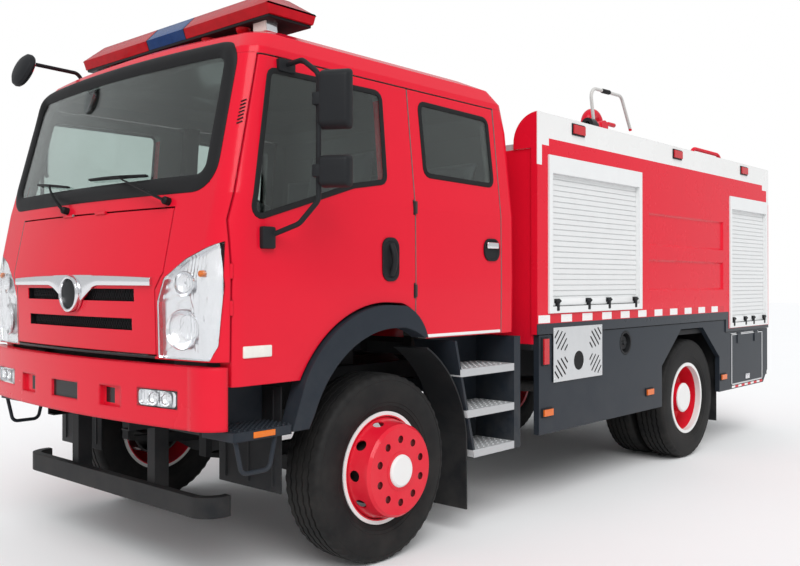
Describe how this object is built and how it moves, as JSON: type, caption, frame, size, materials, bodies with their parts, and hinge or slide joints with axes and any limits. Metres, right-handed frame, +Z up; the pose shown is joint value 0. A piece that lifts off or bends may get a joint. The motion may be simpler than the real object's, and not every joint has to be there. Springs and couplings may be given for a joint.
{
  "type": "fire truck",
  "caption": "Crew-cab water and foam fire truck with roller-shutter lockers, roof monitor and light bar.",
  "frame": {"origin": "on the ground, at the middle of the overall length and width", "axes": "+Z up, -Y towards the front of the truck, +X to its left side"},
  "size_m": [3.0704, 7.0398, 3.3972],
  "materials": {
    "aluminium": "satin",
    "black_plastic": "matte",
    "cast_iron": "rough",
    "clear_lamp": "clear",
    "dark_paint": "satin",
    "frame_steel": "satin",
    "glass": "clear",
    "red_lamp": "clear",
    "red_paint": "gloss",
    "seat_fabric": "woven",
    "tyre": "matte",
    "white_paint": "gloss"
  },
  "bodies": {
    "chassis": {"arch_mouldings": "dark_paint", "body_deck": "aluminium", "body_end_walls": "red_paint", "body_sides": "red_paint", "cab_back": "red_paint", "cab_floor": "red_paint", "cab_front": "red_paint", "cab_roof": "red_paint", "crew_steps": "black_plastic", "dashboard": "black_plastic", "driveline": "cast_iron", "frame_crossmembers": "frame_steel", "frame_rails": "frame_steel", "front_axle_beam": "cast_iron", "front_bumper": "red_paint", "front_lamps": "clear_lamp", "front_mirror": "black_plastic", "front_steps": "black_plastic", "leaf_springs": "frame_steel", "light_bar": "red_lamp", "marker_lamps": "red_lamp", "monitor_riser": "red_paint", "mudguards": "black_plastic", "rear_axle_housing": "cast_iron", "rear_step": "frame_steel", "seats": "seat_fabric", "shutter_frames": "white_paint", "shutters": "white_paint", "side_skirts": "dark_paint", "underrun_bar": "frame_steel", "vent_plates": "aluminium", "water_tank": "red_paint", "windscreen": "glass"},
    "front_lid": {"front_panel": "red_paint", "grille": "black_plastic"},
    "door_fl": {"front_door_left": "red_paint", "front_door_glass_left": "glass", "mirror_left": "black_plastic"},
    "door_fr": {"front_door_right": "red_paint", "front_door_glass_right": "glass", "mirror_right": "black_plastic"},
    "door_rl": {"rear_door_left": "red_paint", "rear_door_glass_left": "glass"},
    "door_rr": {"rear_door_right": "red_paint", "rear_door_glass_right": "glass"},
    "flap_l": {"locker_flap_left": "dark_paint"},
    "flap_r": {"locker_flap_right": "dark_paint"},
    "turret": {"monitor_turret": "red_paint"},
    "barrel": {"monitor_barrel": "red_paint"},
    "steer_l": {"knuckle_left": "cast_iron"},
    "steer_r": {"knuckle_right": "cast_iron"},
    "wheel_fl": {"front_tyre_left": "tyre", "front_wheel_left": "red_paint"},
    "wheel_fr": {"front_tyre_right": "tyre", "front_wheel_right": "red_paint"},
    "wheel_rl": {"rear_tyres_left": "tyre", "rear_wheels_left": "red_paint"},
    "wheel_rr": {"rear_tyres_right": "tyre", "rear_wheels_right": "red_paint"}
  },
  "joints": [
    {"name": "steer_left", "type": "hinge", "parent": "chassis", "child": "steer_l", "pos_m": [0.95, -2.305, 0.51], "axis": [0, 0, 1], "range_deg": [-34, 34]},
    {"name": "steer_right", "type": "hinge", "parent": "chassis", "child": "steer_r", "pos_m": [-0.95, -2.305, 0.51], "axis": [0, 0, 1], "range_deg": [-34, 34]},
    {"name": "front_wheel_left_spin", "type": "hinge", "parent": "steer_l", "child": "wheel_fl", "pos_m": [1.06, -2.305, 0.51], "axis": [1, 0, 0], "continuous": true},
    {"name": "front_wheel_right_spin", "type": "hinge", "parent": "steer_r", "child": "wheel_fr", "pos_m": [-1.06, -2.305, 0.51], "axis": [1, 0, 0], "continuous": true},
    {"name": "rear_wheels_left_spin", "type": "hinge", "parent": "chassis", "child": "wheel_rl", "pos_m": [0.91, 1.545, 0.51], "axis": [1, 0, 0], "continuous": true},
    {"name": "rear_wheels_right_spin", "type": "hinge", "parent": "chassis", "child": "wheel_rr", "pos_m": [-0.91, 1.545, 0.51], "axis": [1, 0, 0], "continuous": true},
    {"name": "front_door_left_hinge", "type": "hinge", "parent": "chassis", "child": "door_fl", "pos_m": [1.156, -3.309, 1.6], "axis": [0, 0, -1], "range_deg": [0, 70]},
    {"name": "front_door_right_hinge", "type": "hinge", "parent": "chassis", "child": "door_fr", "pos_m": [-1.156, -3.309, 1.6], "axis": [0, 0, 1], "range_deg": [0, 70]},
    {"name": "rear_door_left_hinge", "type": "hinge", "parent": "chassis", "child": "door_rl", "pos_m": [1.172, -2.033, 1.6], "axis": [0, 0, -1], "range_deg": [0, 70]},
    {"name": "rear_door_right_hinge", "type": "hinge", "parent": "chassis", "child": "door_rr", "pos_m": [-1.172, -2.033, 1.6], "axis": [0, 0, 1], "range_deg": [0, 70]},
    {"name": "front_lid_hinge", "type": "hinge", "parent": "chassis", "child": "front_lid", "pos_m": [0, -3.406, 1.876], "axis": [-1, 0, 0], "range_deg": [0, 70]},
    {"name": "locker_flap_left_hinge", "type": "hinge", "parent": "chassis", "child": "flap_l", "pos_m": [1.222, 2.795, 1.026], "axis": [0, -1, 0], "range_deg": [0, 90]},
    {"name": "locker_flap_right_hinge", "type": "hinge", "parent": "chassis", "child": "flap_r", "pos_m": [-1.222, 2.795, 1.026], "axis": [0, 1, 0], "range_deg": [0, 90]},
    {"name": "monitor_turn", "type": "hinge", "parent": "chassis", "child": "turret", "pos_m": [0, 2.095, 2.86], "axis": [0, 0, 1], "continuous": true},
    {"name": "monitor_elevate", "type": "hinge", "parent": "turret", "child": "barrel", "pos_m": [0.15, 1.875, 3.01], "axis": [-1, 0, 0], "range_deg": [-15, 55]}
  ],
  "couplings": [
    {"joint": "steer_right", "follows": "steer_left", "ratio": 1}
  ]
}
